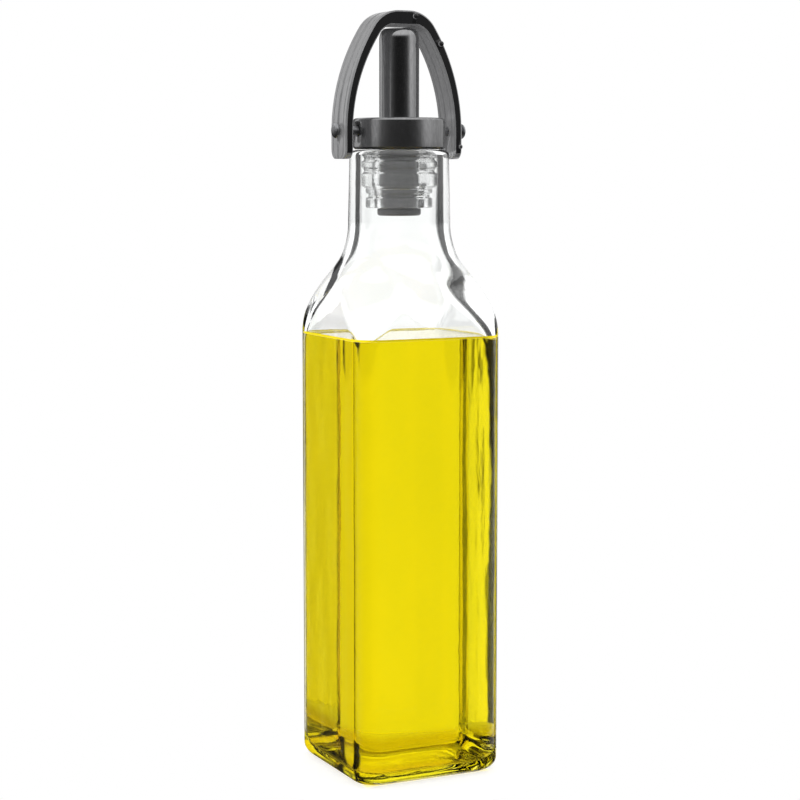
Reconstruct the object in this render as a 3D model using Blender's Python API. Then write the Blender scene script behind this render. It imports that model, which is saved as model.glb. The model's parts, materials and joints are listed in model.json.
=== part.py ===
"""A square glass oil bottle, filled to its shoulder, with a pouring stopper and a hinged arch bail.

Sizes are in metres and +Z is up. The origin is the middle of the base, on the surface that the
bottle stands on. The flat faces are square to X and Y, and the bail swings about an axis along X.
"""

import math

import bmesh
import bpy

# Body and shoulder of the bottle, outside
BODY_SIDE = 0.0504
BODY_CORNER = 0.0070  # radius of the four upright edges
HEEL_RADIUS = 0.0045
HEEL_CORNER_LOSS = 0.0038  # the corners of the bearing rim are rounder than those of the body
BEARING_WIDTH = 0.0027  # flat rim that the bottle stands on
PUSH_UP = 0.0020  # rise of the underside inside that rim
UNDERSIDE_SHARES = (0.35, 0.7, 0.9, 1.0)  # of the way out to the rim
SHOULDER_START = 0.1439
SHOULDER_ARCS = (0.0330, 0.0260)  # outward arc, then the arc into the neck
CORNERS_FADE = (0.1399, 0.1659)  # heights between which the square turns round

# Neck and mouth
NECK_FOOT = 0.1764
NECK_RADIUS = 0.0162
NECK_DRAFT = 0.024  # loss of radius for each unit of height
BORE_RADIUS = 0.0123
BOTTLE_HEIGHT = 0.1979
LIP_RADIUS = 0.0015
LIP_INNER_RADIUS = 0.0005

# Cavity and oil
WALL = 0.0026
CAVITY_SHOULDER_START = 0.1429
CAVITY_ARCS = (0.0300, 0.0290)
FLOOR_HEIGHT = 0.0034
FLOOR_CORNER = 0.0046
FLOOR_RISE = 0.0012
FLOOR_SHARES = (0.7, 0.35)  # of the way out to the floor's rounded edge
OIL_LEVEL = 0.1394
GAP = 0.0003  # between pieces that touch

# Collar and spout tube, with heights measured from the bottle's mouth
COLLAR_RADIUS = 0.0146
COLLAR_HEIGHT = 0.0100
COLLAR_EDGE = 0.0009
SPOUT_RADIUS = 0.0063
SPOUT_BORE = 0.0043
SPOUT_RISE = 0.0378
SPOUT_SHOULDER = (0.0018, 0.0034)  # its rounded top, across and down
SPOUT_RIM = 0.0002
WAIST_RADIUS = 0.0058
WAIST_DEPTH = 0.0112
FLANGE_RADIUS = 0.0069
FLANGE_DEPTH = 0.0184
FLANGE_THICKNESS = 0.0022
FLANGE_ROUND = 0.0008

# Clear seal in the neck
SEAL_STEP_DEPTH = 0.0113  # where it steps down to its slimmer part
SEAL_LOWER_RADIUS = 0.0106
SEAL_GROOVE = 0.0008
RIB_CREST = 0.45  # shares of the pitch between ribs
RIB_GROOVE = (0.62, 0.83)

# Bail, with heights measured from the mouth, and its pins
PIN_HEIGHT = BOTTLE_HEIGHT + 0.0060
BAIL_SIDE_SHIFT = -0.0010  # end play on the pins, taken up to the left
BAIL_HALF_SPAN = 0.0202
BAIL_RISE = 0.0432
BAIL_FOOT_DEPTH = 0.0028
BAIL_ARC_START = 0.0055  # the straight feet end this far above the mouth
BAIL_SIDE_ARC = 0.0610
BAIL_CROWN_ARC = 0.0104
BAIL_WIDTH = 0.0116
ARM_THICKNESS = 0.0026
CROWN_THICKNESS = 0.0039
CROWN_UNDERSIDE = 0.0386  # the middle of the crown is flat underneath
THICKENING = (0.0, math.radians(70))  # turns of the strap between which it thickens
STRAP_CHAMFER = 0.0004
GROOVE_WIDTH = 0.0014
GROOVE_DEPTH = 0.0004
FOOT_ROUND = 0.0030
NUB_RADIUS = 0.0009
NUBS = ((0.0037, 0.0, 0.0415), (0.0126, 0.0, 0.0332), (0.0197, 0.0006, 0.0011))  # x, back, height
PIN_RADIUS = 0.0013
PIN_HOLE_RADIUS = 0.0015
PIN_HEAD_RADIUS = 0.0024
PIN_HEAD_HEIGHT = 0.0011
PIN_HEAD_DOME = ((0.0, 1.0), (0.55, 0.9), (0.87, 0.6), (1.0, 0.2))  # shares of both
PIN_HEAD_AT = 0.0219  # distance of a head's underside from the middle
PIN_END_AT = 0.0105
RECESS_RADIUS = 0.0022  # round recess in the collar's side that each pin enters
RECESS_DEPTH = 0.0016

# Facets
RING_SIDES = 32
TURNED_SIDES = 36
PIN_SIDES = 20


def clear_scene():
    """Remove every object, so that the script can be run again."""
    for thing in list(bpy.data.objects):
        bpy.data.objects.remove(thing, do_unlink=True)


def plain_material(name, colour, roughness, metallic=0.0, transmission=0.0):
    """A Principled material with the part's colour."""
    made = bpy.data.materials.new(name)
    made.use_nodes = True
    shader = made.node_tree.nodes["Principled BSDF"]
    shader.inputs["Base Color"].default_value = (*colour, 1.0)
    shader.inputs["Roughness"].default_value = roughness
    shader.inputs["Metallic"].default_value = metallic
    shader.inputs["Transmission Weight"].default_value = transmission
    made.diffuse_color = (*colour, 1.0)
    return made


def new_object(name, mesh, material=None, parent=None, location=(0, 0, 0)):
    """Link an object for the mesh, with its material, parent and place."""
    made = bpy.data.objects.new(name, mesh)
    bpy.context.scene.collection.objects.link(made)
    if material:
        mesh.materials.append(material)
    made.parent = parent
    made.location = location
    return made


def smooth_step(value, low, high):
    """0 below low, 1 above high, and a smooth rise between them."""
    share = min(max((value - low) / (high - low), 0.0), 1.0)
    return share * share * (3 - 2 * share)


def steps(first, last, count):
    """count + 1 evenly spaced values from first to last."""
    return [first + (last - first) * i / count for i in range(count + 1)]


def shoulder_half(z, start, wide, narrow, arcs):
    """Half the width across the flats at height z: two tangent arcs lead from body to neck."""
    outward, inward = arcs
    turn = math.acos(1 - (wide - narrow) / (outward + inward))
    middle = start + outward * math.sin(turn)
    end = middle + inward * math.sin(turn)
    if z <= start:
        return wide
    if z < middle:
        return wide - outward + math.sqrt(outward**2 - (z - start) ** 2)
    if z < end:
        return narrow + inward - math.sqrt(inward**2 - (end - z) ** 2)
    return narrow


def flat_half(z):
    """Half the length of a flat face at height z, which falls to nothing where the neck is round."""
    return (BODY_SIDE / 2 - BODY_CORNER) * (1 - smooth_step(z, *CORNERS_FADE))


def outer_half(z):
    """Half the outer width across the flats, with the neck's draft."""
    half = shoulder_half(z, SHOULDER_START, BODY_SIDE / 2, NECK_RADIUS, SHOULDER_ARCS)
    return half - NECK_DRAFT * max(0.0, z - NECK_FOOT)


def cavity_half(z):
    """Half the cavity's width across the flats."""
    wide = BODY_SIDE / 2 - WALL
    return shoulder_half(z, CAVITY_SHOULDER_START, wide, BORE_RADIUS, CAVITY_ARCS)


def underside_sections():
    """(half width, half flat, height) from near the middle of the base out to the bearing rim."""
    rim_outer = BODY_SIDE / 2 - HEEL_RADIUS
    rim_inner = rim_outer - BEARING_WIDTH
    flat_share = (flat_half(0) - HEEL_CORNER_LOSS) / rim_outer
    found = []
    for share in UNDERSIDE_SHARES:
        half = rim_inner * share
        found.append((half, half * flat_share, PUSH_UP * (1 - share**2)))
    return found


def heel_sections(count=5):
    """The rounded edge between the bearing rim and the upright faces."""
    centre = BODY_SIDE / 2 - HEEL_RADIUS
    found = []
    for turn in steps(0, math.pi / 2, count):
        half = centre + HEEL_RADIUS * math.sin(turn)
        flat = flat_half(0) - HEEL_CORNER_LOSS * (1 - math.sin(turn))
        found.append((half, flat, HEEL_RADIUS * (1 - math.cos(turn))))
    return found


def shoulder_sections(half_at, count=13):
    """Sections from the top of the upright faces to the foot of the neck."""
    return [(half_at(z), flat_half(z), z) for z in steps(CORNERS_FADE[0], NECK_FOOT, count)]


def mouth_sections():
    """The lip: up and over from the neck's outside to its bore."""
    outer_start = BOTTLE_HEIGHT - LIP_RADIUS
    centre = outer_half(outer_start) - LIP_RADIUS
    found = []
    for turn in steps(0, math.pi / 2, 3):
        half = centre + LIP_RADIUS * math.cos(turn)
        found.append((half, 0.0, outer_start + LIP_RADIUS * math.sin(turn)))
    for turn in steps(0, math.pi / 2, 2):
        half = BORE_RADIUS + LIP_INNER_RADIUS * (1 - math.sin(turn))
        height = BOTTLE_HEIGHT - LIP_INNER_RADIUS * (1 - math.cos(turn))
        found.append((half, 0.0, height))
    return found


def floor_sections(wall_half, floor, corner, count=4):
    """From the foot of an inner wall round the corner and in towards the middle of the floor."""
    flat_share = flat_half(0) / wall_half
    inner = wall_half - corner
    found = []
    for turn in steps(0, math.pi / 2, count):
        half = inner + corner * math.cos(turn)
        found.append((half, half * flat_share, floor + corner * (1 - math.sin(turn))))
    for share in FLOOR_SHARES:
        rise = FLOOR_RISE * (1 - share**2)
        found.append((inner * share, inner * share * flat_share, floor + rise))
    return found


def section_ring(mesh, half, flat, z):
    """Vertices of one rounded-square section. It is a true circle where flat is 0."""
    radius = half - flat
    ring = []
    for i in range(RING_SIDES):
        turn = 2 * math.pi * (i + 0.5) / RING_SIDES
        x = radius * math.cos(turn) + math.copysign(flat, math.cos(turn))
        y = radius * math.sin(turn) + math.copysign(flat, math.sin(turn))
        ring.append(mesh.verts.new((x, y, z)))
    return ring


def skin_rings(mesh, rings):
    """Faces between each ring of vertices and the next."""
    for lower, upper in zip(rings, rings[1:]):
        for i, corner in enumerate(lower):
            j = (i + 1) % len(lower)
            mesh.faces.new((corner, lower[j], upper[j], upper[i]))


def fan(mesh, ring, centre):
    """Close a ring with triangles that meet at one point."""
    tip = mesh.verts.new(centre)
    for i, corner in enumerate(ring):
        mesh.faces.new((corner, ring[(i + 1) % len(ring)], tip))


def finished_mesh(name, mesh, crease=math.radians(35)):
    """The bmesh as a mesh with outward faces, smooth except at edges sharper than crease."""
    bmesh.ops.recalc_face_normals(mesh, faces=mesh.faces)
    data = bpy.data.meshes.new(name)
    mesh.to_mesh(data)
    mesh.free()
    data.shade_smooth()
    data.set_sharp_from_angle(angle=crease)
    return data


def lofted(name, sections, first_height, last_height=None):
    """A closed solid through rounded-square sections. Its ends meet in the middle, or close flat."""
    mesh = bmesh.new()
    rings = [section_ring(mesh, *section) for section in sections]
    skin_rings(mesh, rings)
    fan(mesh, rings[0], (0, 0, first_height))
    if last_height is None:
        mesh.faces.new(rings[-1])
    else:
        fan(mesh, rings[-1], (0, 0, last_height))
    return finished_mesh(name, mesh)


def make_bottle(material, parent):
    """The glass: one skin from the underside, up the outside, over the lip and down the cavity."""
    outside = underside_sections() + heel_sections() + shoulder_sections(outer_half)
    inside = shoulder_sections(cavity_half)[::-1]
    inside += floor_sections(BODY_SIDE / 2 - WALL, FLOOR_HEIGHT, FLOOR_CORNER)
    sections = outside + mouth_sections() + inside
    mesh = lofted("bottle", sections, PUSH_UP, FLOOR_HEIGHT + FLOOR_RISE)
    return new_object("bottle", mesh, material, parent)


def make_oil(material, parent):
    """The oil, solid from just above the cavity floor up to its level."""
    side = BODY_SIDE / 2 - WALL - GAP
    sections = floor_sections(side, FLOOR_HEIGHT + GAP, FLOOR_CORNER)[::-1]
    sections.append((side, flat_half(0), OIL_LEVEL))
    mesh = lofted("oil", sections, FLOOR_HEIGHT + GAP + FLOOR_RISE)
    return new_object("oil", mesh, material, parent)


def arc_points(centre, radius, first, last, count):
    """Points (x, z) of an arc between two directions in degrees."""
    found = []
    for turn in steps(math.radians(first), math.radians(last), count):
        found.append((centre[0] + radius * math.cos(turn), centre[1] + radius * math.sin(turn)))
    return found


def turned(name, profile, sides, closed, material, parent):
    """A solid of revolution: profile is (radius, height) points, down the outer side first."""
    mesh = bmesh.new()
    points = [mesh.verts.new((x, 0, z)) for x, z in profile]
    for first, second in zip(points, points[1:]):
        mesh.edges.new((first, second))
    if closed:
        mesh.edges.new((points[-1], points[0]))
    data = bpy.data.meshes.new(name)
    mesh.to_mesh(data)
    mesh.free()
    made = new_object(name, data, material, parent)
    screw = made.modifiers.new("Turn", "SCREW")
    screw.axis = "Z"
    screw.steps = sides
    screw.render_steps = sides
    screw.use_merge_vertices = True
    screw.merge_threshold = 0.00001
    screw.use_smooth_shade = True
    return made


def cylinder_cutter(name, radius, first_x, last_x, z, sides, parent):
    """A hidden cylinder along X, used to cut or to add."""
    mesh = bmesh.new()
    bmesh.ops.create_cone(
        mesh,
        cap_ends=True,
        segments=sides,
        radius1=radius,
        radius2=radius,
        depth=abs(last_x - first_x),
    )
    data = bpy.data.meshes.new(name)
    mesh.to_mesh(data)
    mesh.free()
    helper = new_object(name, data, None, parent, ((first_x + last_x) / 2, 0, z))
    helper.rotation_euler = (0, math.pi / 2, 0)
    hide_helper(helper)
    return helper


def hide_helper(helper):
    """Keep a cutter out of renders and out of the model."""
    helper.hide_render = True
    helper.display_type = "WIRE"


def add_boolean(target, helper, operation):
    """Cut or join the helper with the exact solver."""
    step = target.modifiers.new(helper.name, "BOOLEAN")
    step.operation = operation
    step.object = helper
    step.solver = "EXACT"


def make_collar(material, parent):
    """The ring that rests on the mouth, with a recess and a blind hole for each of the bail's pins."""
    bottom = BOTTLE_HEIGHT + GAP
    top = BOTTLE_HEIGHT + COLLAR_HEIGHT
    hole = SPOUT_RADIUS + GAP
    edge = COLLAR_EDGE
    profile = [(hole, top)]
    profile += arc_points((COLLAR_RADIUS - edge, top - edge), edge, 90, 0, 3)
    profile += [(COLLAR_RADIUS, bottom + edge / 2), (COLLAR_RADIUS - edge / 2, bottom)]
    profile.append((hole, bottom))
    collar = turned("collar", profile, TURNED_SIDES, True, material, parent)
    for side, word in ((-1, "left"), (1, "right")):
        outside = side * (COLLAR_RADIUS + 2 * RECESS_DEPTH)
        for name, radius, depth in (
            ("recess", RECESS_RADIUS, COLLAR_RADIUS - RECESS_DEPTH),
            ("pin_hole", PIN_HOLE_RADIUS, PIN_END_AT - GAP),
        ):
            helper = cylinder_cutter(
                "collar_" + name + "_" + word,
                radius,
                side * depth,
                outside,
                PIN_HEIGHT,
                PIN_SIDES,
                parent,
            )
            add_boolean(collar, helper, "DIFFERENCE")
    return collar


def make_spout(material, parent):
    """The pouring tube: open bore, round rim, slim waist and a flange that holds the seal."""
    top = BOTTLE_HEIGHT + SPOUT_RISE
    waist_top = BOTTLE_HEIGHT - WAIST_DEPTH
    flange_top = BOTTLE_HEIGHT - FLANGE_DEPTH
    flange_bottom = flange_top - FLANGE_THICKNESS
    profile = arc_points((SPOUT_BORE + SPOUT_RIM, top - SPOUT_RIM), SPOUT_RIM, 180, 90, 2)
    across, down = SPOUT_SHOULDER
    for turn in steps(0, math.pi / 2, 7)[1:]:
        out = SPOUT_RADIUS - across * (1 - math.sin(turn))
        profile.append((out, top - down * (1 - math.cos(turn))))
    profile += [(SPOUT_RADIUS, waist_top), (WAIST_RADIUS, waist_top - GAP)]
    profile += [(WAIST_RADIUS, flange_top), (FLANGE_RADIUS, flange_top)]
    corner = (FLANGE_RADIUS - FLANGE_ROUND, flange_bottom + FLANGE_ROUND)
    profile += arc_points(corner, FLANGE_ROUND, 0, -90, 3)
    profile.append((SPOUT_BORE, flange_bottom))
    return turned("spout", profile, TURNED_SIDES, True, material, parent)


def seal_ribs(radius, top, bottom, count):
    """Down one ribbed stretch of the seal: each rib is a flat crest between sloped grooves."""
    pitch = (top - bottom) / count
    found = []
    for i in range(count):
        crest = top - pitch * i
        found.append((radius, crest))
        found.append((radius, crest - RIB_CREST * pitch))
        if i < count - 1:
            found += [(radius - SEAL_GROOVE, crest - share * pitch) for share in RIB_GROOVE]
    found.append((radius, bottom))
    return found


def make_seal(material, parent):
    """The clear ribbed sleeve that plugs the neck round the spout tube."""
    step = BOTTLE_HEIGHT - SEAL_STEP_DEPTH
    waist_top = BOTTLE_HEIGHT - WAIST_DEPTH
    bottom = BOTTLE_HEIGHT - FLANGE_DEPTH + GAP
    profile = seal_ribs(BORE_RADIUS - GAP, BOTTLE_HEIGHT, step, 3)
    profile += seal_ribs(SEAL_LOWER_RADIUS, step - SEAL_GROOVE, bottom, 2)
    profile += [(WAIST_RADIUS + GAP, bottom), (WAIST_RADIUS + GAP, waist_top - 3 * GAP)]
    profile += [(SPOUT_RADIUS + GAP, waist_top - 2 * GAP), (SPOUT_RADIUS + GAP, BOTTLE_HEIGHT)]
    return turned("seal_sleeve", profile, TURNED_SIDES, True, material, parent)


def make_pin(side, word, material, parent):
    """A headed pin from outside the bail's arm, through its recess, into the collar."""
    length = PIN_HEAD_AT - PIN_END_AT
    profile = [(out * PIN_HEAD_RADIUS, up * PIN_HEAD_HEIGHT) for out, up in PIN_HEAD_DOME]
    profile += [(PIN_HEAD_RADIUS, 0), (PIN_RADIUS, 0), (PIN_RADIUS, -length), (0, -length)]
    pin = turned("pivot_pin_" + word, profile, PIN_SIDES, False, material, parent)
    pin.location = (side * PIN_HEAD_AT, 0, PIN_HEIGHT)
    pin.rotation_euler = (0, side * math.pi / 2, 0)
    return pin


def bail_stations():
    """(x, z, outward x, outward z, thickness, half width) up the right half, foot to crown."""
    half_width = BAIL_WIDTH / 2
    foot = BOTTLE_HEIGHT - BAIL_FOOT_DEPTH
    arc_foot = BOTTLE_HEIGHT + BAIL_ARC_START
    crown_z = BOTTLE_HEIGHT + BAIL_RISE - BAIL_CROWN_ARC
    found = []
    for turn in steps(0, math.pi / 2, 3):
        z = foot + FOOT_ROUND * (1 - math.cos(turn))
        half = half_width - FOOT_ROUND * (1 - math.sin(turn))
        found.append((BAIL_HALF_SPAN, z, 1.0, 0.0, ARM_THICKNESS, half))
    switch = math.asin((crown_z - arc_foot) / (BAIL_SIDE_ARC - BAIL_CROWN_ARC))
    for turn in steps(0, switch, 8):
        x = BAIL_HALF_SPAN - BAIL_SIDE_ARC * (1 - math.cos(turn))
        z = arc_foot + BAIL_SIDE_ARC * math.sin(turn)
        found.append((x, z, math.cos(turn), math.sin(turn), strap_thickness(turn), half_width))
    centre = found[-1][0] - BAIL_CROWN_ARC * math.cos(switch)
    for turn in steps(switch, math.pi / 2, 7)[1:]:
        x = centre + BAIL_CROWN_ARC * math.cos(turn)
        z = crown_z + BAIL_CROWN_ARC * math.sin(turn)
        found.append((x, z, math.cos(turn), math.sin(turn), strap_thickness(turn), half_width))
    return found


def strap_thickness(turn):
    """The strap thickens from its arms to its crown."""
    share = smooth_step(turn, *THICKENING)
    return ARM_THICKNESS + (CROWN_THICKNESS - ARM_THICKNESS) * share


def strap_outline(half, thickness):
    """(across, inward) points round the strap: chamfered edges, a groove down each face."""
    slope = GROOVE_WIDTH / 2 + GROOVE_DEPTH
    face = [
        (-half, STRAP_CHAMFER),
        (-half + STRAP_CHAMFER, 0),
        (-slope, 0),
        (-GROOVE_WIDTH / 2, GROOVE_DEPTH),
    ]
    outer = face + [(-across, inward) for across, inward in reversed(face)]
    inner = [(across, thickness - inward) for across, inward in reversed(outer)]
    return outer + inner


def make_bail(material, pivot):
    """The arch strap over the spout, with holes for its pins and small nubs on its front edge."""
    right = bail_stations()
    left = [(-x, z, -nx, nz, thick, half) for x, z, nx, nz, thick, half in right]
    mesh = bmesh.new()
    rings = []
    for x, z, nx, nz, thickness, half in left + right[::-1]:
        ring = []
        for across, inward in strap_outline(half, thickness):
            level = z - nz * inward
            if inward >= thickness / 2:
                level = min(level, BOTTLE_HEIGHT + CROWN_UNDERSIDE + thickness - inward)
            ring.append(mesh.verts.new((x - nx * inward, across, level - PIN_HEIGHT)))
        rings.append(ring)
    skin_rings(mesh, rings)
    mesh.faces.new(rings[0])
    mesh.faces.new(rings[-1])
    bail = new_object("bail", finished_mesh("bail", mesh), material, pivot)
    reach = BAIL_HALF_SPAN + ARM_THICKNESS
    hole = cylinder_cutter("bail_pin_hole", PIN_HOLE_RADIUS, -reach, reach, 0, PIN_SIDES, pivot)
    add_boolean(bail, hole, "DIFFERENCE")
    for x, back, rise in NUBS:
        place = (x, back - BAIL_WIDTH / 2, BOTTLE_HEIGHT + rise - PIN_HEIGHT)
        add_boolean(bail, nub_helper(place, pivot), "UNION")
    return bail


def nub_helper(place, parent):
    """A small ball that is joined to the bail's front edge."""
    mesh = bmesh.new()
    bmesh.ops.create_icosphere(mesh, subdivisions=2, radius=NUB_RADIUS)
    data = bpy.data.meshes.new("bail_nub")
    mesh.to_mesh(data)
    mesh.free()
    helper = new_object("bail_nub", data, None, parent, place)
    hide_helper(helper)
    return helper


def main():
    clear_scene()
    glass = plain_material("clear_glass", (0.92, 0.95, 0.94), 0.03, 0.0, 1.0)
    oil = plain_material("yellow_oil", (0.85, 0.72, 0.01), 0.05, 0.0, 0.6)
    metal_grey = plain_material("satin_grey_shell", (0.12, 0.12, 0.12), 0.35, 0.6)
    black = plain_material("black_plastic", (0.03, 0.03, 0.03), 0.3)
    strap = plain_material("grey_strap_plastic", (0.16, 0.16, 0.16), 0.35)
    clear = plain_material("clear_seal_plastic", (0.85, 0.87, 0.88), 0.15, 0.0, 0.8)
    steel = plain_material("pin_steel", (0.45, 0.45, 0.45), 0.3, 1.0)

    root = bpy.data.objects.new("oil_dispenser", None)
    bpy.context.scene.collection.objects.link(root)
    pivot = bpy.data.objects.new("bail_pivot", None)
    bpy.context.scene.collection.objects.link(pivot)
    pivot.parent = root
    pivot.location = (BAIL_SIDE_SHIFT, 0, PIN_HEIGHT)

    make_bottle(glass, root)
    make_oil(oil, root)
    make_collar(metal_grey, root)
    make_spout(metal_grey, root)
    make_seal(clear, root)
    make_bail(strap, pivot)
    for side, word in ((-1, "left"), (1, "right")):
        make_pin(side, word, steel, root)


main()
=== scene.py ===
"""Glass oil dispenser: a square bottle of yellow oil with a pouring stopper and an arched bail.

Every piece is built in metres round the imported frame, with +Z up and the base at z = 0.
"""

import json
import math

import bmesh
import bpy
import mathutils
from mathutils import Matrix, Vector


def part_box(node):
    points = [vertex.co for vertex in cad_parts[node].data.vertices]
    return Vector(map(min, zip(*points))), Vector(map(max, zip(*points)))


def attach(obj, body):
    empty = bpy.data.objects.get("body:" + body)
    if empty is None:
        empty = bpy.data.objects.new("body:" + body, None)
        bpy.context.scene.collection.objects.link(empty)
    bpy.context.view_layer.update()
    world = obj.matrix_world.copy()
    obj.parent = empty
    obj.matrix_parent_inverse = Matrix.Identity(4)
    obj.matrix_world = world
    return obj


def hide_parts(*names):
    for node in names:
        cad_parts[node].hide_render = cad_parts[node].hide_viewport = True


bl_info = {
    "name": "Glass Oil Dispenser",
    "version": (1, 0, 0),
    "blender": (4, 5, 0),
    "location": "3D View > Sidebar > Oil Dispenser",
    "description": "Builds a glass oil dispenser piece by piece round its packed frame",
    "category": "Object",
}

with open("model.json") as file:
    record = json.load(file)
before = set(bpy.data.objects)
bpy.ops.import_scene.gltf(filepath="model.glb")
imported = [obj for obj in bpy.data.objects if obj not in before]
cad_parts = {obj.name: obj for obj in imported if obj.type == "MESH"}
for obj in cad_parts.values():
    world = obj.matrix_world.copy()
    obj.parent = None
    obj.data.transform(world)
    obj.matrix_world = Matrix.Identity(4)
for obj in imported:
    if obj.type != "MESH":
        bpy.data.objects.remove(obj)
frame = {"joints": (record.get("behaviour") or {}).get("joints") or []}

BOTTLE_BODY = "bottle_body"
BAIL_BODY = "bail_body"

# Places that the frame gives
GLASS_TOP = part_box("bottle")[1]
MOUTH = GLASS_TOP.z
OIL_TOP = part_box("oil")[1]
COLLAR_LOW, COLLAR_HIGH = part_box("collar")
SPOUT_LOW, SPOUT_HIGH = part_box("spout")
SEAL_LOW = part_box("seal_sleeve")[0]
BAIL_LOW, BAIL_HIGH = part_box("bail")
PINS = {name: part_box(name) for name in ("pivot_pin_left", "pivot_pin_right")}
HINGE_HEIGHT = frame["joints"][0]["pos_m"][2]

# How the glass bends and gathers, in metres
SHOULDER_ARCS = (0.033, 0.026)  # radii of the outward and the inward arc of the outer shoulder
CAVITY_ARCS = (0.03, 0.029)  # the same two of the cavity
CAVITY_DROP = 0.001  # how far below the outer shoulder the cavity's begins
NECK_DRAFT = 0.024  # how much the neck's radius falls for each metre of height
UNDERSIDE_RISE = 0.002  # how far the underside is pushed up in its middle
FLOOR_RISE = 0.0012  # how far the glass floor rises to its middle
EDGE_BAND = 0.0004  # a narrow band beside each rounded edge, which keeps its shading off the flat

# How the stopper's tube and seal fit together, in metres
SEAL_STEP = MOUTH - 0.0113  # where the seal's wide stretch ends
WAIST_TOP = MOUTH - 0.0112  # where the tube narrows inside the seal
TUBE_BORE = 0.0043  # radius of the pouring tube's bore
SEAL_BORE = 0.0066  # radius of the seal's and the collar's bore, round the tube
PIN_HOLE = 0.0015  # radius of the holes for the pins

# How metallic and how rough each finish is, and the size and depth of its grain in metres. The
# real grain is too fine to show, so it is drawn coarser. The near-black gloss of the strap's front and
# back edges is painted dark reflection of the dark room on the camera side; on the nubs it is their
# own black.
FINISHES = {
    "black_nickel_collar": (0.97, 0.2, 0.0006, 0.000006),
    "black_nickel_tube": (1.0, 0.15, 0.0006, 0.000006),
    "black_nickel_strap": (0.5, 0.24, 0.0007, 0.000008),
    "painted_dark_edge_and_black_nub": (0.0, 0.2, 0.0009, 0.000004),
}

# The room round the object, as (degrees, share) stops: degrees to the right of the way that the
# camera faces, and how far the light there is from the dimmest to the brightest.
# What is seen through the oil: pale backdrops, with a dark gap to the left and one to the right
ROOM_LOW = (
    *((-180, 1.0), (-76, 1.0), (-68, 1.25), (-52, 1.25), (-49.5, 0.0), (-39, 0.0), (-35, 1.0)),
    *((87, 1.0), (91, 0.0), (102, 0.0), (105.5, 1.0), (119, 1.0), (124, 1.1), (180, 1.1)),
)
# What is seen through the empty glass higher up: the same, with wider gaps
ROOM_HIGH = (
    *((-180, 1.0), (-62, 1.0), (-56, 0.0), (-38, 0.0), (-33, 0.9)),
    *((31, 0.9), (36, 0.0), (75, 0.0), (82, 1.0), (180, 1.0)),
)
# What glossy surfaces mirror: softboxes to the left, ahead and to the right, and dark behind
ROOM_MIRROR = (
    *((-180, 0.02), (-160, 0.03), (-145, 0.08), (-131, 0.2), (-124, 0.7), (-116, 0.6)),
    *((-104, 0.5), (-76, 0.5), (-66, 0.3), (-57, 0.75), (-42, 0.75), (-30, 0.1), (-15, 0.1)),
    *((-9, 1.0), (9, 1.0), (15, 0.4), (36, 0.6), (64, 0.6), (83, 0.65), (98, 0.85)),
    *((112, 0.85), (120, 0.45), (127, 0.22), (136, 0.08), (155, 0.03), (180, 0.02)),
)
# What they mirror below the horizon: one pale stretch, a little to the right of ahead
ROOM_DUSK = ((-180, 0.0), (-2, 0.0), (4, 1.0), (28, 1.0), (38, 0.0), (180, 0.0))


# Colours and nodes


def linear(code):
    """An sRGB hex colour such as #d8c010 as linear red, green, blue and alpha."""
    values = [int(code[i : i + 2], 16) / 255 for i in (1, 3, 5)]
    turned = [v / 12.92 if v <= 0.04045 else ((v + 0.055) / 1.055) ** 2.4 for v in values]
    return (*turned, 1.0)


def feed(node, inputs):
    """Give a node its inputs, each a value or a socket to link from."""
    for name, value in inputs.items():
        if isinstance(value, bpy.types.NodeSocket):
            node.id_data.links.new(value, node.inputs[name])
        else:
            node.inputs[name].default_value = value


def add_node(tree, kind, settings=None, inputs=None, stops=()):
    """Add a node: its type after ShaderNode, its properties, its inputs, and the (position, colour)
    stops of its ramp."""
    node = tree.nodes.new("ShaderNode" + kind)
    for name, value in (settings or {}).items():
        setattr(node, name, value)
    feed(node, inputs or {})
    for _ in stops[2:]:
        node.color_ramp.elements.new(0.5)
    for index, (position, shade) in enumerate(stops):
        node.color_ramp.elements[index].position = position
        node.color_ramp.elements[index].color = shade
    return node


def new_material(name):
    """A material, its node tree and the shader that it starts with."""
    made = bpy.data.materials.new(name)
    made.use_nodes = True
    return made, made.node_tree, made.node_tree.nodes["Principled BSDF"]


def lumps(tree, size, scale=(1, 1, 1), detail=2.0, roughness=0.5):
    """A noise pattern on the piece, whose lumps are about size metres across. A scale under 1 draws
    them out along that axis, and one over 1 packs them closer."""
    place = add_node(tree, "TexCoord").outputs["Object"]
    drawn = add_node(tree, "Mapping", {}, {"Vector": place, "Scale": scale}).outputs["Vector"]
    inputs = {"Vector": drawn, "Scale": 1 / size, "Detail": detail, "Roughness": roughness}
    return add_node(tree, "TexNoise", {}, inputs).outputs["Fac"]


def mottle(tree, dark, light, **lump):
    """A noise pattern, and a colour that goes from dark to light with it."""
    value = lumps(tree, **lump)
    # The values of noise seldom leave the stretch from 0.3 to 0.7
    stops = ((0.3, dark), (0.7, light))
    return value, add_node(tree, "ValToRGB", {}, {"Fac": value}, stops).outputs["Color"]


def climb(tree, low, high, below, above, shape="LINEAR"):
    """A share that is 0 below the height low and 1 above high, and a colour that turns from below
    to above with it."""
    place = add_node(tree, "TexCoord").outputs["Object"]
    height = add_node(tree, "SeparateXYZ", {}, {"Vector": place}).outputs["Z"]
    limits = {"From Min": low, "From Max": high, "Value": height}
    share = add_node(tree, "MapRange", {"interpolation_type": shape}, limits).outputs["Result"]
    tones = {"Factor": share, "A": below, "B": above}
    return share, add_node(tree, "Mix", {"data_type": "RGBA"}, tones).outputs["Result"]


# Mesh tools


def steps(first, last, count):
    """count + 1 evenly spaced values from first to last."""
    return [first + (last - first) * i / count for i in range(count + 1)]


def smooth_step(value, low, high):
    """0 below low, 1 above high, and a smooth rise between them."""
    share = min(max((value - low) / (high - low), 0.0), 1.0)
    return share * share * (3 - 2 * share)


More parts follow.
